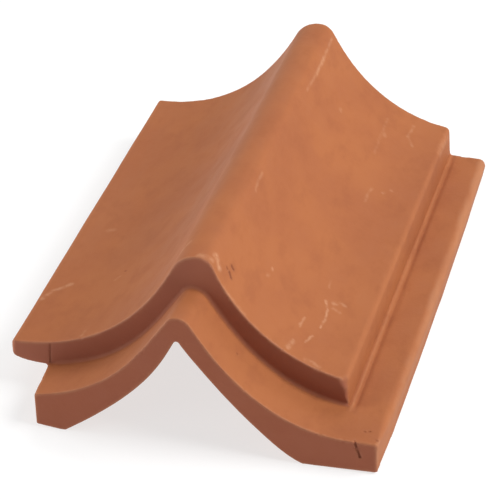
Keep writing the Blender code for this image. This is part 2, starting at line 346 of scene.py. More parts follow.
blank = loft("blank", [(between(LIP_DEPTH, LENGTH, back), body_section(back))
                       for back in (0.0, 0.25, 0.5, 0.75, 1.0)])
lip = loft("lip", [(depth, lip_section(depth))
                   for depth in (0.0, LIP_DEPTH, LIP_DEPTH + LIP_INTO_BODY)])
hollow = loft("hollow", hollow_sections())
soften(lip)
soften(blank)
join_or_cut(blank, lip, "UNION")
join_or_cut(blank, hollow, "DIFFERENCE")
bake(blank)
for helper in (lip, hollow):
    bpy.data.objects.remove(helper, do_unlink=True)
across = [vertex.co.x for vertex in blank.data.vertices]
SHIFT = Vector((-(min(across) + max(across)) / 2, -LENGTH / 2, 0.0))
print("blank has", len(blank.data.polygons), "faces and moves by", SHIFT)

# %% [markdown]
# ## One even skin
#
# The blank has long thin faces, which can't take a dent or a scratch. A voxel
# remesh lays even squares over it, as clay fills a mould, and pulling each point
# back onto the blank keeps the sizes true. Squares of over 3 mm are enough for the
# broad flanks. Only the rounded edges and the places with fine marks get smaller
# ones, so the piece stays light.

# %% Remesh and pull back onto the blank
VOXEL = 0.0038


def skin_over(source, name):
    skin = bpy.data.objects.new(name, source.data.copy())
    bpy.context.collection.objects.link(skin)
    remesh = skin.modifiers.new("even squares", "REMESH")
    remesh.mode = "VOXEL"
    remesh.voxel_size = VOXEL
    bake(skin)
    return skin


def tree_of(obj):
    build = bmesh.new()
    build.from_mesh(obj.data)
    tree = BVHTree.FromBMesh(build)
    build.free()
    return tree


def pull_onto(vertices, tree):
    for vertex in vertices:
        vertex.co = tree.find_nearest(vertex.co)[0]


def relax(build, rounds):
    for _ in range(rounds):
        bmesh.ops.smooth_vert(build, verts=build.verts, factor=0.5,
                              use_axis_x=True, use_axis_y=True, use_axis_z=True)


surface = tree_of(blank)
tile = skin_over(blank, "ridge_tile_clay")
skin = bmesh.new()
skin.from_mesh(tile.data)
relax(skin, 3)
pull_onto(skin.verts, surface)
print("even skin has", len(skin.faces), "faces")

# %% Distance to a line of points
def nearest_on(line, points):
    """For each point: the nearest place on the line, its gap, and the line's run there."""
    line, points = np.asarray(line, float), np.asarray(points, float)
    gap = np.full(len(points), np.inf)
    place, run = np.zeros_like(points), np.zeros_like(points)
    for a, b in zip(line, line[1:]):
        along = b - a
        share = np.clip((points - a) @ along / (along @ along), 0.0, 1.0)
        near = a + share[:, None] * along
        away = np.linalg.norm(points - near, axis=1)
        closer = away < gap
        gap[closer], place[closer] = away[closer], near[closer]
        run[closer] = along / np.linalg.norm(along)
    return place, gap, run


# %% [markdown]
# ## Where the fine marks are
#
# Each line below is one mark of the real tile, in millimetres from the ridge line,
# the front and the ground. A small mark needs squares smaller than itself, so the
# skin is cut finer along these lines before anything is pressed into it.

# %% Lines of the fine marks
MM = 0.001
BEAD_LINE = [(108.3, 36.0, 21.4), (110.9, 404.0, 17.3)]
CRACK = [(119.1, 0.9, 24.3), (119.9, 0.0, 23.2), (121.4, 0.0, 18.7), (123.2, 0.0, 12.6)]
MOULD_SEAM = [(-106.1, 42.0, 39.4), (-106.8, 42.0, 31.9), (-107.1, 42.0, 24.5)]
PITS = [  # darkness, half width in mm, then the points
    (0.35, 1.4, (123.0, 14.7, 23.0), (123.4, 14.7, 23.0)),
    (0.35, 1.4, (125.9, 15.6, 22.9), (126.3, 15.6, 22.9)),
    (0.45, 1.9, (133.0, 6.3, 23.3), (133.4, 6.3, 23.3)),
    (0.40, 1.5, (32.9, 26.7, 64.3), (33.2, 26.7, 64.2)),
    (0.58, 2.9, (19.7, 67.0, 106.4), (20.8, 66.5, 104.4)),
    (0.62, 2.9, (19.9, 60.0, 105.8), (21.3, 57.8, 103.1)),
    (0.30, 2.4, (17.8, 60.4, 109.2), (18.3, 60.0, 108.4)),
    (0.40, 1.9, (-77.4, 127.3, 51.0), (-77.0, 127.3, 51.0)),
]
DARK_MARKS = PITS + [(0.68, 2.0, *CRACK[1:]), (0.40, 1.9, *MOULD_SEAM)]
# Painted shade on both sides of the bead.
BEAD_SHADE_MARKS = [(0.30, 2.2, *[(x - 2.3, y, z) for x, y, z in BEAD_LINE]),
               (0.30, 3.4, *[(x + 3.2, y, z) for x, y, z in BEAD_LINE])]
# Painted highlight along the crest of the bead.
CREST_HIGHLIGHT_MARKS = [(0.32, 1.2, *BEAD_LINE)]


def foot_line():
    """The lip's top where the front of the body stands on it."""
    return lip_top(LIP_DEPTH)


def in_metres(line):
    return [tuple(value * MM for value in point) for point in line]


print("foot of the body's front has", len(foot_line()), "points")

# %% Finer squares where they are needed
def refine(build, wanted):
    edges = {edge for face in wanted for edge in face.edges}
    made = bmesh.ops.subdivide_edges(build, edges=list(edges), cuts=1, use_grid_fill=True)
    pull_onto([item for item in made["geom_inner"] if isinstance(item, bmesh.types.BMVert)],
              surface)
    build.normal_update()


def bent_faces(build, least):
    """Faces that a bent edge touches."""
    found = set()
    for edge in build.edges:
        if len(edge.link_faces) == 2 and edge.calc_face_angle() > least:
            found.update(edge.link_faces)
    return found


def refine_along(build, lines, reach, size):
    """Cuts the faces within reach of the lines until their edges are about this short."""
    step = VOXEL / 2
    while step > 0.6 * size:
        centres = np.array([face.calc_center_median() for face in build.faces])
        gap = np.min([nearest_on(line, centres)[1] for line in lines], axis=0)
        near = [face for face, far in zip(build.faces, gap) if far < reach + 2.0 * step
                and max(edge.calc_length() for edge in face.edges) > 1.5 * step]
        if near:
            refine(build, near)
        step /= 2


for least in (14, 32):
    bent = bent_faces(skin, math.radians(least))
    refine(skin, bent)
    print("with finer edges", len(skin.faces), "faces,", len(bent), "were bent")
def profile_line(crown, flanks, y):
    return [(x, y, z) for x, z in profile_of(crown, *flanks)[::3]]


front_rims = [profile_line(FRONT_CROWN, (LEFT_FLANK, RIGHT_FLANK), LIP_DEPTH),
              profile_line(LIP_CROWN, (LIP_LEFT_FLANK, LIP_RIGHT_FLANK), 0.0),
              [(LIP_RIGHT, 0.0, 0.024), (LIP_RIGHT, 0.0, 0.001)],
              [(LIP_LEFT, 0.0, 0.031), (LIP_LEFT, 0.0, 0.002)]]
for foot, side, rise in ((HOLLOW_LEFT["foot"], LIP_LEFT, LIP_LEFT_RISE),
                         (HOLLOW_RIGHT["foot"], LIP_RIGHT, LIP_RIGHT_RISE)):
    outside = foot + math.copysign(LIP_FOOT_FLAT, foot)
    front_rims.append([(0.94 * foot, 0.0, 0.002), (foot, 0.0, 0.0), (outside, 0.0, 0.0),
                       (side, 0.0, rise)])
front_rims.append([(x, LIP_DEPTH, z) for x, z in overhang_underside()])
front_rims.append([(x, 0.0, z) for x, z in hollow_section(0.0)[::2] if z > 0])
back_rim = profile_line(BACK_CROWN, (LEFT_FLANK, RIGHT_FLANK), LENGTH)
refine_along(skin, front_rims, 0.0, 0.0004)
refine_along(skin, [back_rim], 0.0001, 0.0008)
foot = [(x, LIP_DEPTH, z) for x, z in foot_line()]
refine_along(skin, [foot], 0.0018, 0.0008)
refine_along(skin, [in_metres(BEAD_LINE)], 0.0018, 0.0008)
small_marks = [CRACK, MOULD_SEAM] + [points for _, _, *points in PITS]
refine_along(skin, [in_metres(line) for line in small_marks], 0.0010, 0.0004)
relax(skin, 2)
pull_onto(skin.verts, surface)
wide = [face for face in skin.faces if len(face.verts) > 4]
bmesh.ops.triangulate(skin, faces=wide, quad_method="BEAUTY", ngon_method="BEAUTY")
skin.normal_update()
print("with finer marks", len(skin.faces), "faces")

# %% [markdown]
# ## The soft foot of the body's front
#
# On the tile, the upright front of the body doesn't meet the lip in a crease: the
# mould left a small hollow curve there. Each point near the crease is moved onto
# an arc, in the plane across the crease. The radius fades out at both ends.

# %% Round the foot
FOOT_RADIUS = 0.0030
FOOT_FADE_LEFT, FOOT_FADE_RIGHT = (-0.108, -0.100), (0.1088, 0.1040)


def fade(value, low, high):
    """0 at low, 1 at high, smooth between; low may be the larger."""
    t = np.clip((value - low) / (high - low), 0.0, 1.0)
    return t * t * (3 - 2 * t)


def round_the_foot(build):
    near = [v for v in build.verts
            if LIP_DEPTH - FOOT_RADIUS < v.co.y < LIP_DEPTH + 0.0002]
    points = np.array([(v.co.x, v.co.z) for v in near])
    place, gap, run = nearest_on(foot_line(), points)
    normal = np.stack([-run[:, 1], run[:, 0]], axis=1)
    height = np.einsum("ij,ij->i", points - place, normal)
    radius = FOOT_RADIUS * fade(points[:, 0], *FOOT_FADE_LEFT) * fade(points[:, 0], *FOOT_FADE_RIGHT)
    moved = 0
    for i, vertex in enumerate(near):
        r, out, up = radius[i], LIP_DEPTH - vertex.co.y, height[i]
        if gap[i] > abs(up) + 1e-5 or r < 0.0003 or not (out < r and -0.0004 < up < r):
            continue
        reach = math.hypot(r - out, r - up)
        if reach > r:
            out, up = r - (r - out) * r / reach, r - (r - up) * r / reach
            spot = place[i] + normal[i] * up
            vertex.co = (spot[0], LIP_DEPTH - out, spot[1])
            moved += 1
    build.normal_update()
    return moved


print("points moved onto the soft foot:", round_the_foot(skin))
skin.to_mesh(tile.data)
skin.free()

# %% [markdown]
# ## Fired clay
#
# Unglazed terracotta is matte, and its colour drifts with the kiln's heat. The
# skin near the ridge on the left gets a grey-brown bloom with a painted sheen,
# edges that stand out are paler from wear and a painted highlight, and handling
# has left pale scratches. Corners, the bead's sides and the faces turned to the
# front get painted shade. All of this is worked out from the place on the tile,
# so it needs no picture. Two numbers per point, rubbed and recess, are stored on
# the mesh further on, because only the mesh knows where an edge stands out.

# %% Node helper
def add_node(tree, kind, inputs=(), **settings):
    """A node with its settings, whose inputs are values or other nodes' outputs."""
    node = tree.nodes.new(kind)
    for name, value in settings.items():
        setattr(node, name, value)
    for name, value in dict(inputs).items():
        if isinstance(value, bpy.types.NodeSocket):
            tree.links.new(value, node.inputs[name])
        else:
            node.inputs[name].default_value = value
    return node


def maths(tree, operation, first, second=0.0, **settings):
    return add_node(tree, "ShaderNodeMath", {0: first, 1: second}, operation=operation,
                    **settings).outputs[0]


def ramped(tree, value, low, high, to_low=0.0, to_high=1.0):
    """A smooth change from to_low to to_high while the value goes from low to high."""
    return add_node(tree, "ShaderNodeMapRange",
                    {"Value": value, "From Min": low, "From Max": high,
                     "To Min": to_low, "To Max": to_high},
                    interpolation_type="SMOOTHSTEP").outputs["Result"]


def noise(tree, place, size, detail=2.0, roughness=0.5, stretch=(1.0, 1.0, 1.0)):
    """Cloudy noise whose patches are about this many metres across."""
    scale = tuple(factor / size for factor in stretch)
    spread = add_node(tree, "ShaderNodeMapping", {"Vector": place, "Scale": scale})
    cloud = add_node(tree, "ShaderNodeTexNoise",
                     {"Vector": spread.outputs[0], "Scale": 1.0, "Detail": detail,
                      "Roughness": roughness})
    return cloud.outputs["Fac"]


def blend(tree, share, first, second):
    """From the first colour to the second."""
    mix = add_node(tree, "ShaderNodeMix", data_type="RGBA")
    for socket, value in ((mix.inputs[0], share), (mix.inputs[6], first), (mix.inputs[7], second)):
        if isinstance(value, bpy.types.NodeSocket):
            tree.links.new(value, socket)
        else:
            socket.default_value = value if isinstance(value, float) else (*value, 1.0)
    return mix.outputs[2]


# %% [markdown]
# ### Scratches and streaks
#
# A scratch is a short line, and a point's distance from it says how white the
# point is. One node group works that distance out, and each mark on the tile is
# one copy of the group with its own two ends.

# %% A group that draws one scratch
def scratch_group():
    tree = bpy.data.node_groups.new("scratch", "ShaderNodeTree")
    for name, kind in (("Place", "NodeSocketVector"), ("From", "NodeSocketVector"),
                       ("To", "NodeSocketVector"), ("Width", "NodeSocketFloat"),
                       ("Strength", "NodeSocketFloat")):
        tree.interface.new_socket(name, in_out="INPUT", socket_type=kind)
    tree.interface.new_socket("Mark", in_out="OUTPUT", socket_type="NodeSocketFloat")
    start = tree.nodes.new("NodeGroupInput")
    end = tree.nodes.new("NodeGroupOutput")

    def vector(operation, first, second, out=0):
        return add_node(tree, "ShaderNodeVectorMath", {0: first, 1: second},
                        operation=operation).outputs[out]

    away = vector("SUBTRACT", start.outputs["Place"], start.outputs["From"])
    along = vector("SUBTRACT", start.outputs["To"], start.outputs["From"])
    dot = vector("DOT_PRODUCT", away, along, 1)
    square = vector("DOT_PRODUCT", along, along, 1)
    share = maths(tree, "DIVIDE", dot, square, use_clamp=True)
    scaled = add_node(tree, "ShaderNodeVectorMath", {0: along, "Scale": share},
                      operation="SCALE").outputs[0]
    gap = vector("DISTANCE", away, scaled, 1)
    mark = ramped(tree, maths(tree, "DIVIDE", gap, start.outputs["Width"]), 1.0, 0.0)
    tree.links.new(maths(tree, "MULTIPLY", mark, start.outputs["Strength"]),
                   end.inputs["Mark"])
    return tree


SCRATCH = scratch_group()
print("scratch group has", len(SCRATCH.nodes), "nodes")

# %% The pale marks: strength, half width in mm, then the points of the line in mm
PALE_MARKS = [
    (0.62, 4.6, (12.4, 54.5, 121.0), (14.4, 53.0, 117.5), (15.6, 51.0, 114.8)),
    (0.34, 3.6, (4.1, 45.5, 126.3), (8.6, 46.5, 125.1), (11.9, 47.5, 122.4)),
    (0.16, 2.6, (20.7, 44.0, 104.6), (34.5, 44.0, 84.4)),
    (0.40, 2.2, (37.4, 107.7, 81.2), (37.2, 106.0, 81.4)),
    (0.28, 2.6, (36.8, 99.2, 82.0), (36.6, 97.0, 82.2)),
    (0.56, 1.7, (72.6, 117.2, 53.7), (76.3, 108.5, 51.9), (77.2, 97.1, 51.4), (76.3, 86.3, 51.9)),
    (0.40, 3.4, (78.6, 118.5, 50.8), (79.4, 119.5, 50.5)),
    (0.34, 2.6, (82.0, 123.0, 49.3), (86.0, 121.5, 47.8)),
    (0.24, 2.4, (79.0, 113.0, 50.7), (84.0, 112.0, 48.6)),
    (0.44, 1.7, (65.3, 87.8, 57.8), (64.4, 79.9, 58.3), (63.9, 75.2, 58.7)),
    (0.48, 1.7, (73.7, 73.8, 53.2), (71.1, 63.4, 54.5)),
    (0.36, 2.9, (64.2, 57.8, 58.5), (62.7, 47.6, 59.4)),
    (0.22, 1.7, (70.9, 141.5, 54.6), (71.7, 132.9, 54.2)),
    (0.32, 3.2, (75.4, 46.7, 52.3), (79.8, 47.0, 50.3), (84.4, 46.0, 48.4)),
    (0.40, 2.9, (-131.0, 96.0, 39.0), (-127.0, 107.0, 39.1), (-115.8, 117.6, 40.0)),
    (0.40, 2.3, (-79.5, 121.0, 49.9), (-82.5, 117.0, 48.6)),
    (0.24, 3.8, (-111.4, 192.5, 40.6), (-108.0, 193.5, 41.2)),
    (0.28, 2.3, (-82.5, 51.7, 48.7), (-84.1, 46.1, 48.0)),
    (0.28, 3.2, (-7.8, 67.1, 123.0), (-13.5, 58.7, 117.4)),
    (0.30, 2.5, (14.5, 390.7, 115.8), (15.2, 358.6, 114.7)),
    (0.44, 2.8, (15.2, 358.6, 114.7), (15.5, 331.2, 114.2)),
    (0.24, 2.3, (15.5, 331.2, 114.2), (15.0, 305.0, 115.4)),
    (0.36, 2.9, (34.6, 335.1, 84.8), (34.9, 333.0, 84.5)),
    (0.20, 3.5, (65.1, 352.2, 57.9), (66.0, 349.0, 57.4)),
    (0.36, 2.5, (80.1, 275.4, 50.2), (81.2, 276.5, 49.8)),
    (0.28, 2.3, (85.0, 283.5, 48.2), (85.6, 283.0, 48.0)),
    (0.24, 2.2, (71.2, 253.6, 54.5), (70.8, 264.7, 54.6), (72.6, 274.6, 53.7)),
    (0.24, 2.2, (82.8, 383.8, 49.0), (81.6, 364.9, 49.5), (87.3, 355.1, 47.3)),
    (0.14, 2.3, (63.6, 374.2, 58.9), (63.7, 344.1, 58.8), (64.4, 318.1, 58.4)),
    (0.24, 2.6, (14.0, 173.2, 118.1), (14.0, 158.9, 118.2), (14.7, 150.5, 116.6)),
    (0.26, 6.0, (108.6, 392.0, 38.0), (108.0, 362.0, 40.0)),
]


def marks_on(tree, place, marks):
    """The strongest of all these marks at each place."""
    strongest = None
    for strength, width, *points in marks:
        for a, b in zip(points, points[1:]):
            ends = [Vector(point) * MM + SHIFT for point in (a, b)]
            drawn = add_node(tree, "ShaderNodeGroup", node_tree=SCRATCH)
            tree.links.new(place, drawn.inputs["Place"])
            drawn.inputs["From"].default_value, drawn.inputs["To"].default_value = ends
            drawn.inputs["Width"].default_value = width * MM
            drawn.inputs["Strength"].default_value = strength
            mark = drawn.outputs["Mark"]
            strongest = mark if strongest is None else maths(tree, "MAXIMUM", strongest, mark)
    return strongest


print(len(PALE_MARKS), "pale marks")

# %% [markdown]
# ### The whole finish
#
# Broad, middle and small clouds of noise mix three shades of the same clay. Then
# come the bloom with its painted sheen, the painted shade on the front faces, the
# worn edges with their painted highlight, the painted shade in the corners and
# the marks, each laid over the one before.

# %% The clay
CLAY_WARM, CLAY_MIDDLE, CLAY_BROWN = (0.366, 0.119, 0.040), (0.331, 0.1035, 0.0370), (0.298, 0.0930, 0.0355)
# Bloom colour: a grey-brown bloom with a painted sheen on the left flank near the ridge.
# Corner colour: painted shade for corners and for the bead's sides.
# Pale edge colour: wear, and a painted highlight on edges, the flange's rim and the bead.
BLOOM_AND_SHEEN, EDGE_WEAR_AND_HIGHLIGHT, CORNER_SHADE = (0.315, 0.123, 0.060), (0.45, 0.208, 0.106), (0.20, 0.050, 0.018)
SCRATCHED, PIT_DARK = (0.60, 0.33, 0.19), (0.16, 0.040, 0.018)
# Front face colours: painted shade on the faces turned to the front, one for the lip and one for the body.
LIP_FRONT_SHADE, BODY_FRONT_SHADE = (0.310, 0.090, 0.051), (0.335, 0.112, 0.072)


def clay():
    material = bpy.data.materials.new("fired clay")
    material.use_nodes = True
    tree = material.node_tree
    shader = tree.nodes["Principled BSDF"]
    shader.inputs["Specular IOR Level"].default_value = 0.25
    place = tree.nodes.new("ShaderNodeTexCoord").outputs["Object"]
    split = add_node(tree, "ShaderNodeSeparateXYZ", {0: place})
    across, along, height = split.outputs

    def kept(name):
        return add_node(tree, "ShaderNodeAttribute", attribute_name=name).outputs["Fac"]

    rubbed, recess, upright = kept("rubbed"), kept("recess"), kept("upright")

    broad = noise(tree, place, 0.065, 3.0, 0.55)
    middle = noise(tree, place, 0.016, 3.0, 0.6, (1.0, 0.6, 1.0))
    small = noise(tree, place, 0.0035, 3.0, 0.6)
    fine = noise(tree, place, 0.0007, 2.0, 0.6)

    colour = blend(tree, ramped(tree, broad, 0.35, 0.65), CLAY_MIDDLE, CLAY_WARM)
    colour = blend(tree, ramped(tree, middle, 0.48, 0.72, 0.0, 0.55), colour, CLAY_BROWN)
    freckle = ramped(tree, small, 0.35, 0.70, 0.0, 0.22)
    colour = blend(tree, freckle, colour, CLAY_WARM)

    # Painted sheen and a grey-brown bloom: the left flank near the ridge, more towards the back, turns
    # greyer.
    left_side = ramped(tree, across, 0.004, -0.014)
    near_ridge = ramped(tree, across, -0.075, -0.022)
    drifting = ramped(tree, noise(tree, place, 0.022, 3.0, 0.6, (1.0, 0.22, 1.0)), 0.30, 0.70, 0.45, 1.0)
    to_back = ramped(tree, along, LIP_DEPTH - LENGTH / 2, 0.10, 0.0, 1.0)
    bloom_and_sheen = maths(tree, "MULTIPLY", left_side, ramped(tree, near_ridge, 0.0, 1.0, 0.25, 0.60))
    bloom_and_sheen = maths(tree, "MULTIPLY", bloom_and_sheen, ramped(tree, to_back, 0.0, 0.6, 0.30, 1.0))
    colour = blend(tree, maths(tree, "MULTIPLY", bloom_and_sheen, drifting), colour, BLOOM_AND_SHEEN)
    # Painted shade: faces turned to the front take a darker, bluer colour.
    lip_or_body = ramped(tree, along, 0.02 - LENGTH / 2, 0.03 - LENGTH / 2)
    front_shade = blend(tree, lip_or_body, LIP_FRONT_SHADE, BODY_FRONT_SHADE)
    colour = blend(tree, maths(tree, "MULTIPLY", upright, 0.75), colour, front_shade)

    # Edges that stand out turn paler: wear, and a painted highlight.
    worn_and_highlit = maths(tree, "MULTIPLY", rubbed, ramped(tree, middle, 0.30, 0.62, 0.35, 1.0))
    colour = blend(tree, maths(tree, "MULTIPLY", worn_and_highlit, 0.36), colour, EDGE_WEAR_AND_HIGHLIGHT)
    # Painted highlight, with wear: a pale band along the flange's outer edge.
    wavy = maths(tree, "ADD", across, maths(tree, "MULTIPLY", maths(tree, "SUBTRACT", middle, 0.5), 0.012))
    outer_edge_highlight = maths(tree, "MULTIPLY", ramped(tree, wavy, 0.1300, 0.1355, 0.0, 0.48), drifting)
    outer_edge_highlight = maths(tree, "MULTIPLY", outer_edge_highlight, ramped(tree, height, 0.004, 0.014, 0.3, 1.0))
    colour = blend(tree, outer_edge_highlight, colour, EDGE_WEAR_AND_HIGHLIGHT)
    # Painted shade: points that lie in a corner are darkened.
    colour = blend(tree, maths(tree, "MULTIPLY", recess, 0.28), colour, CORNER_SHADE)
    # Painted shade in the groove beside the bead and at the step's foot.
    colour = blend(tree, kept("bead_shade"), colour, CORNER_SHADE)
    # Painted highlight along the crest of the bead.
    colour = blend(tree, kept("crest_highlight"), colour, EDGE_WEAR_AND_HIGHLIGHT)

    shaky = add_node(tree, "ShaderNodeTexNoise", {"Vector": place, "Scale": 260.0, "Detail": 1.0})
    jitter = add_node(tree, "ShaderNodeVectorMath",
                      {0: shaky.outputs["Color"], 1: (0.5, 0.5, 0.5)}, operation="SUBTRACT")
    moved = add_node(tree, "ShaderNodeVectorMath",
                     {0: jitter.outputs[0], 1: (0.0022, 0.0022, 0.0022), 2: place},
                     operation="MULTIPLY_ADD").outputs[0]
    broken = ramped(tree, noise(tree, place, 0.0048, 2.0, 0.5), 0.34, 0.60, 0.22, 0.86)
    scratches = maths(tree, "MULTIPLY", marks_on(tree, moved, PALE_MARKS), broken)
    colour = blend(tree, scratches, colour, SCRATCHED)
    colour = blend(tree, kept("dark"), colour, PIT_DARK)
    tree.links.new(colour, shader.inputs["Base Color"])

    gloss = ramped(tree, middle, 0.30, 0.70, 0.70, 0.80)
    gloss = maths(tree, "SUBTRACT", gloss, maths(tree, "MULTIPLY", worn_and_highlit, 0.10))
    gloss = maths(tree, "SUBTRACT", gloss, maths(tree, "MULTIPLY", bloom_and_sheen, 0.10))
    tree.links.new(gloss, shader.inputs["Roughness"])

    drag = noise(tree, place, 0.0016, 2.0, 0.5, (1.0, 0.06, 1.0))
    grain = maths(tree, "ADD", maths(tree, "MULTIPLY", fine, 0.35), maths(tree, "MULTIPLY", small, 0.9))
    relief = maths(tree, "ADD", grain, maths(tree, "MULTIPLY", drag, 0.25))
    bump = add_node(tree, "ShaderNodeBump", {"Height": relief, "Strength": 0.45, "Distance": 0.0004})
    tree.links.new(bump.outputs[0], shader.inputs["Normal"])
    return material


fired_clay = clay()
print("fired clay has", len(fired_clay.node_tree.nodes), "nodes")

# %% [markdown]
# ## What the press left on the skin
#
# Beside the step's foot a thin bead runs the length of the tile, with a shallow
# groove outside it. It follows a straight path, so Geometry Nodes raise it: each
# point asks how far it is from that path. The same tree gives the skin the slight
# unevenness of pressed clay, from two sizes of noise.

# %% The pressing tree
PRESSING = {
    "Bead Start": tuple(Vector(BEAD_LINE[0]) * MM), "Bead End": tuple(Vector(BEAD_LINE[1]) * MM),
    "Bead Half Width": 0.0014, "Bead Height": 0.0006, "Bead Patch": 0.022,
    "Groove Offset": 0.0024, "Groove Half Width": 0.0018, "Groove Depth": 0.0004,
    "Dish Start": 0.0012, "Dish End": 0.0160, "Dish Depth": 0.0011,
    "Fade Start": 0.037, "Fade End": 0.048, "Ends From": 0.386, "Ends By": 0.398,
    "Wave Size": 0.045, "Wave Height": 0.00032, "Ripple Size": 0.011, "Ripple Height": 0.00007,
    "Seed": 7.0, "Clay": fired_clay,
}


def pressing_tree():
    tree = bpy.data.node_groups.new("pressed skin", "GeometryNodeTree")
    tree.interface.new_socket("Geometry", in_out="INPUT", socket_type="NodeSocketGeometry")
    for name, value in PRESSING.items():
        kind = ("NodeSocketMaterial" if name == "Clay" else
                "NodeSocketVector" if isinstance(value, tuple) else "NodeSocketFloat")
        tree.interface.new_socket(name, in_out="INPUT", socket_type=kind)
    tree.interface.new_socket("Geometry", in_out="OUTPUT", socket_type="NodeSocketGeometry")
    given = tree.nodes.new("NodeGroupInput").outputs
    result = tree.nodes.new("NodeGroupOutput")

    def vector(operation, first, second, out=0):
        return add_node(tree, "ShaderNodeVectorMath", {0: first, 1: second},
                        operation=operation).outputs[out]

    here = tree.nodes.new("GeometryNodeInputPosition").outputs[0]
    path = add_node(tree, "GeometryNodeCurvePrimitiveLine",
                    {"Start": given["Bead Start"], "End": given["Bead End"]})
    wire = add_node(tree, "GeometryNodeCurveToMesh", {"Curve": path.outputs[0]})
    near = add_node(tree, "GeometryNodeProximity", target_element="EDGES")
    tree.links.new(wire.outputs[0], near.inputs[0])
    away = vector("SUBTRACT", here, near.outputs["Position"])
    bead = add_node(tree, "ShaderNodeMapRange",
                    {"Value": near.outputs["Distance"], "From Min": given["Bead Half Width"],
                     "From Max": 0.0, "To Min": 0.0, "To Max": given["Bead Height"]},
                    interpolation_type="SMOOTHSTEP").outputs["Result"]
    beside = add_node(tree, "ShaderNodeCombineXYZ", {"X": given["Groove Offset"]}).outputs[0]
    groove = add_node(tree, "ShaderNodeMapRange",
                      {"Value": vector("DISTANCE", away, beside, 1),
                       "From Min": given["Groove Half Width"], "From Max": 0.0,
                       "To Min": 0.0, "To Max": given["Groove Depth"]},
                      interpolation_type="SMOOTHSTEP").outputs["Result"]
    offset = add_node(tree, "ShaderNodeSeparateXYZ", {0: away})
    dish = add_node(tree, "ShaderNodeMapRange",
                    {"Value": offset.outputs["X"], "From Min": given["Dish End"],
                     "From Max": given["Dish Start"], "To Min": 0.0,
                     "To Max": given["Dish Depth"]}).outputs["Result"]
    outside = ramped(tree, offset.outputs["X"], 0.0, given["Dish Start"])
    level = ramped(tree, maths(tree, "ABSOLUTE", offset.outputs["Z"]), 0.006, 0.004)
    dish = maths(tree, "MULTIPLY", maths(tree, "MULTIPLY", dish, outside), level)
    back = add_node(tree, "ShaderNodeSeparateXYZ", {0: here}).outputs["Y"]
    begins = ramped(tree, back, given["Fade Start"], given["Fade End"])
    ends = ramped(tree, back, given["Ends From"], given["Ends By"], 1.0, 0.0)
    pressed = maths(tree, "ADD", groove, dish)
    patchy = add_node(tree, "ShaderNodeTexNoise",
                      {"Scale": maths(tree, "DIVIDE", 1.0, given["Bead Patch"]),
                       "W": given["Seed"], "Detail": 1.0}, noise_dimensions="4D").outputs["Fac"]
    bead = maths(tree, "MULTIPLY", bead, ramped(tree, patchy, 0.30, 0.65, 0.35, 1.15))
    height = maths(tree, "MULTIPLY", maths(tree, "SUBTRACT", bead, pressed), begins)
    height = maths(tree, "MULTIPLY", height, ends)
    raised = add_node(tree, "ShaderNodeCombineXYZ", {"Z": height}).outputs[0]

    uneven = None
    for size, tall in (("Wave Size", "Wave Height"), ("Ripple Size", "Ripple Height")):
        cloud = add_node(tree, "ShaderNodeTexNoise",
                         {"Scale": maths(tree, "DIVIDE", 1.0, given[size]), "W": given["Seed"],
                          "Detail": 1.0}, noise_dimensions="4D").outputs["Fac"]
        swing = maths(tree, "MULTIPLY", maths(tree, "SUBTRACT", cloud, 0.5),
                      maths(tree, "MULTIPLY", given[tall], 2.0))
        uneven = swing if uneven is None else maths(tree, "ADD", uneven, swing)
    normal = tree.nodes.new("GeometryNodeInputNormal").outputs[0]
    pushed = add_node(tree, "ShaderNodeVectorMath", {0: normal, "Scale": uneven},
                      operation="SCALE").outputs[0]
    placed = add_node(tree, "GeometryNodeSetPosition",
                      {"Geometry": given["Geometry"], "Offset": vector("ADD", raised, pushed)})
    real = add_node(tree, "GeometryNodeRealizeInstances", {"Geometry": placed.outputs[0]})
    dressed = add_node(tree, "GeometryNodeSetMaterial",
                       {"Geometry": real.outputs[0], "Material": given["Clay"]})
    tree.links.new(dressed.outputs[0], result.inputs["Geometry"])
    return tree


# %% Press the skin
def press(obj):
    tree = pressing_tree()
    modifier = obj.modifiers.new("pressing", "NODES")
    modifier.node_group = tree
    for item in tree.interface.items_tree:
        if item.in_out == "INPUT" and item.name in PRESSING:
            modifier[item.identifier] = PRESSING[item.name]
    bake(obj)
    return len(tree.nodes)


print("pressed by a tree of", press(tile), "nodes")

# %% [markdown]
# ## Knocks, the crack and the pits
#
# These are pressed into the mesh itself, so they catch the light from any side.
# Each knock pushes the points near its line inward and fades out smoothly. The
# small knocks along the rims lie at random, from a fixed seed.

# %% Push points in along a line
def knock(points, line, reach, depth, inward):
    """Moves the points near the line inward by up to depth."""
    gap = nearest_on(line, points)[1]
    share = fade(gap, reach, 0.0)
    points += share[:, None] * depth * np.asarray(Vector(inward).normalized())
    return int((share > 0).sum())


def read_points(mesh):
    points = np.empty(3 * len(mesh.vertices))
    mesh.vertices.foreach_get("co", points)
    return points.reshape(-1, 3)


points = read_points(tile.data)
touched = knock(points, in_metres(CRACK), 0.0014, 0.0013, (0.0, 1.0, -0.15))
touched += knock(points, in_metres(MOULD_SEAM), 0.0012, 0.0004, (0.0, 1.0, 0.0))
for _, _, *pit in PITS:
    inward = (-0.88, 0, -0.47) if pit[0][2] > 100 else (0, 0, -1)
    touched += knock(points, in_metres(pit), 0.0016, 0.0006, inward)
print("points in the crack, the seam and the pits:", touched)

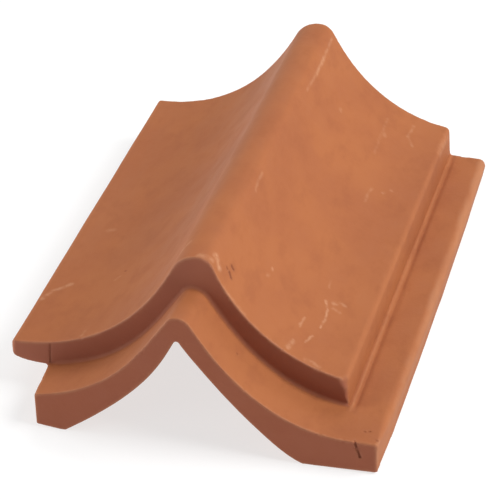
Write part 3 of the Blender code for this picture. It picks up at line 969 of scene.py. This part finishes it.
# %% Knocks along the rims
KNOCK_SEED = 11
RIM_KNOCKS = [(34.9, 0.0, 58.5), (43.9, 0.9, 54.1), (96.0, 0.5, 26.5), (111.6, 0.5, 23.9),
              (8.9, 42.5, 125.0), (-83.1, 42.5, 48.2), (-104.0, 0.5, 31.5)]
CORNER_WEAR = [  # line in mm, reach, depth and way in
    ([(104.6, 42.0, 42.5), (105.6, 42.0, 40.5)], 0.0060, 0.0022, (-0.5, 0.7, -0.5)),
    ([(105.0, 42.0, 42.0), (105.8, 42.0, 30.0)], 0.0026, 0.0008, (-0.5, 0.86, 0.0)),
    ([(134.7, 0.0, 23.6), (134.7, 0.0, 3.0)], 0.0016, 0.0004, (-0.7, 0.7, 0.0)),
]


def rim(profile, y, inset=0.0003):
    return [(x, y, z - inset) for x, z in profile]


def rim_places():
    """The rims that get knocked, each with the way into the clay and the deepest knock."""
    body_front = profile_of(FRONT_CROWN, LEFT_FLANK, RIGHT_FLANK)
    body_back = profile_of(BACK_CROWN, LEFT_FLANK, RIGHT_FLANK)
    lip_front = profile_of(LIP_CROWN, LIP_LEFT_FLANK, LIP_RIGHT_FLANK)
    return [(rim(body_front, LIP_DEPTH), (0, 0.6, -0.8), 0.0003),
            (rim(body_back, LENGTH), (0, -0.6, -0.8), 0.0002),
            (rim(lip_front, 0.0), (0, 0.6, -0.8), 0.0004)]


chance = np.random.default_rng(KNOCK_SEED)
for line, inward, deepest in rim_places():
    for _ in range(16):
        spot = np.array(line[chance.integers(2, len(line) - 2)])
        ends = [tuple(spot - (0.0008, 0, 0)), tuple(spot + (0.0008, 0, 0))]
        knock(points, ends, chance.uniform(0.0016, 0.0034), chance.uniform(0.0001, deepest), inward)
for x, y, z in RIM_KNOCKS:
    knock(points, in_metres([(x - 0.2, y, z), (x + 0.2, y, z)]), 0.0022, 0.0005, (0.0, 0.7, -0.7))
for line, reach, depth, inward in CORNER_WEAR:
    knock(points, in_metres(line), reach, depth, inward)
print("rim knocks made")

# %% [markdown]
# ## Which points stand out, and which lie in a corner
#
# What stands out gets paler, from a hand or a cloth rubbing it and from a
# painted highlight, and what lies in a corner gets painted shade. Where the
# neighbours of a point lie below its tangent plane, it stands out. Averaging that
# over the edges gives a number for each point, which is smoothed and stored.

# %% Store rubbed and recess on the mesh
def point_normals(mesh):
    normals = np.empty(3 * len(mesh.vertices))
    mesh.vertices.foreach_get("normal", normals)
    return normals.reshape(-1, 3)


def bend_of(mesh, points):
    """How far each point stands out (above 0) or lies in (below 0), per metre."""
    edges = np.empty(2 * len(mesh.edges), dtype=np.int64)
    mesh.edges.foreach_get("vertices", edges)
    first, second = edges.reshape(-1, 2).T
    normals = point_normals(mesh)
    run = points[second] - points[first]
    square = np.maximum(np.einsum("ij,ij->i", run, run), 1e-12)
    bend = np.zeros(len(points))
    count = np.zeros(len(points))
    for here, there, sign in ((first, second, 1.0), (second, first, -1.0)):
        rise = np.einsum("ij,ij->i", normals[here], sign * run) / square
        np.add.at(bend, here, -rise)
        np.add.at(count, here, 1.0)
    bend /= np.maximum(count, 1.0)
    for _ in range(3):
        total = bend.copy()
        np.add.at(total, first, bend[second])
        np.add.at(total, second, bend[first])
        bend = total / (count + 1.0)
    return bend


def strongest_mark(points, marks):
    """The strongest of these marks at each point, soft towards its sides."""
    found = np.zeros(len(points))
    for strength, width, *line in marks:
        gap = nearest_on(in_metres(line), points)[1]
        found = np.maximum(found, strength * fade(gap, width * MM, 0.0))
    return found


def keep_number(mesh, name, values):
    attribute = mesh.attributes.new(name, "FLOAT", "POINT")
    attribute.data.foreach_set("value", values.astype(np.float32))


def finish_mesh(obj, points):
    """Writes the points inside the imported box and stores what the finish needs."""
    low, high = (np.array(corner, float) for corner in cad_box)
    placed = np.clip(points + np.array(SHIFT), low + 1e-6, high - 1e-6)
    obj.data.vertices.foreach_set("co", placed.ravel())
    obj.data.update()
    bend = bend_of(obj.data, placed)
    # rubbed: how far a point stands out, for wear and a painted highlight.
    keep_number(obj.data, "rubbed", fade(bend, 25.0, 150.0))
    # recess: how far a point lies in a corner, for the painted shade there.
    keep_number(obj.data, "recess", fade(bend, -15.0, -120.0))
    # upright: how far a face turns to the front, for the painted shade there.
    keep_number(obj.data, "upright", fade(-point_normals(obj.data)[:, 1], 0.20, 0.90))
    for name, marks in (("dark", DARK_MARKS), ("bead_shade", BEAD_SHADE_MARKS), ("crest_highlight", CREST_HIGHLIGHT_MARKS)):
        keep_number(obj.data, name, strongest_mark(points, marks))
    obj.data.shade_smooth()
    return bend


bend = finish_mesh(tile, points)
print("points that stand out:", int((bend > 60).sum()), "and that lie in:", int((bend < -60).sum()))
bpy.data.objects.remove(blank, do_unlink=True)
tile.data.calc_loop_triangles()
print("finished mesh has", len(tile.data.loop_triangles), "triangles")

# %% Hand the piece to the frame
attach(tile, "root")
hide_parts("ridge_tile")

# %% [markdown]
# ## Floor, light and camera
#
# A plain pale floor and soft studio light. A large lamp on the right lights the
# right flank. A low lamp on the left and one behind keep the left flank and the
# crown from going dark, and a weak one in front shows the upright faces. The
# camera stands where the photograph was taken from.

# %% Floor
FLOOR_HALF = 20.0


def make_floor():
    mesh = bpy.data.meshes.new("studio floor")
    corners = [(-FLOOR_HALF, -FLOOR_HALF, 0), (FLOOR_HALF, -FLOOR_HALF, 0),
               (FLOOR_HALF, FLOOR_HALF, 0), (-FLOOR_HALF, FLOOR_HALF, 0)]
    mesh.from_pydata(corners, [], [(0, 1, 2, 3)])
    obj = bpy.data.objects.new("studio_floor", mesh)
    bpy.context.collection.objects.link(obj)
    material = bpy.data.materials.new("pale floor")
    material.use_nodes = True
    shader = material.node_tree.nodes["Principled BSDF"]
    shader.inputs["Base Color"].default_value = (0.30, 0.30, 0.30, 1.0)
    shader.inputs["Roughness"].default_value = 0.9
    shader.inputs["Emission Color"].default_value = (1.0, 1.0, 1.0, 1.0)
    shader.inputs["Emission Strength"].default_value = 0.69
    obj.data.materials.append(material)
    return obj


make_floor()

# %% Lights
LIGHT_DISTANCE, LIGHT_SIZE = 2.6, 1.6
LIGHT_AIM = Vector((0.0, 0.0, 0.05))
SKY_LIGHT, SKY_SEEN = 0.1, 0.72
LIGHTS = {  # round from the right, up, power
    "key from the right": (0, 45, 77.0),
    "fill from the left": (180, 15, 49.0),
    "light from behind": (90, 45, 25.0),
    "weak light in front": (225, 15, 14.5),
}


def soft_light(name, turn, up, power):
    light = bpy.data.lights.new(name, "AREA")
    light.shape = "DISK"
    light.size = LIGHT_SIZE
    light.energy = power
    obj = bpy.data.objects.new(name, light)
    bpy.context.collection.objects.link(obj)
    turn, up = math.radians(turn), math.radians(up)
    away = Vector((math.cos(turn) * math.cos(up), math.sin(turn) * math.cos(up), math.sin(up)))
    obj.location = away * LIGHT_DISTANCE
    obj.rotation_euler = (LIGHT_AIM - obj.location).to_track_quat("-Z", "Y").to_euler()
    return obj


for name, (turn, up, power) in LIGHTS.items():
    soft_light(name, turn, up, power)
world = bpy.data.worlds.new("studio")
bpy.context.scene.world = world
world.use_nodes = True
sky = world.node_tree.nodes["Background"]
sky.inputs["Color"].default_value = (1.0, 1.0, 1.0, 1.0)
# Seen directly, the sky is as pale as the far floor, but it lights the tile only weakly.
seen = world.node_tree.nodes.new("ShaderNodeLightPath").outputs["Is Camera Ray"]
paleness = add_node(world.node_tree, "ShaderNodeMapRange",
                    {"Value": seen, "To Min": SKY_LIGHT, "To Max": SKY_SEEN})
world.node_tree.links.new(paleness.outputs["Result"], sky.inputs["Strength"])

# %% Camera
CAMERA_PLACE = Vector((0.3757, -1.1662, 0.9313)) + SHIFT
CAMERA_TURN = math.radians(15.54)
CAMERA_DOWN = math.radians(32.33)
CAMERA_ROLL = math.radians(-1.54)
FOCAL_PIXELS, FRAME_PIXELS, SENSOR = 2259.8, 500, 36.0


def make_camera():
    back = Vector((math.sin(CAMERA_TURN) * math.cos(CAMERA_DOWN),
                   -math.cos(CAMERA_TURN) * math.cos(CAMERA_DOWN), math.sin(CAMERA_DOWN)))
    right = Vector((math.cos(CAMERA_TURN), math.sin(CAMERA_TURN), 0.0))
    up = back.cross(right)
    rolled_right = math.cos(CAMERA_ROLL) * right + math.sin(CAMERA_ROLL) * up
    rolled_up = back.cross(rolled_right)
    camera = bpy.data.cameras.new("photo view")
    camera.sensor_width = SENSOR
    camera.lens = FOCAL_PIXELS / FRAME_PIXELS * SENSOR
    obj = bpy.data.objects.new("photo_view", camera)
    bpy.context.collection.objects.link(obj)
    turn = Matrix((rolled_right, rolled_up, back)).transposed()
    obj.matrix_world = Matrix.Translation(CAMERA_PLACE) @ turn.to_4x4()
    bpy.context.scene.camera = obj
    return obj


make_camera()
bpy.context.scene.view_settings.view_transform = "Standard"
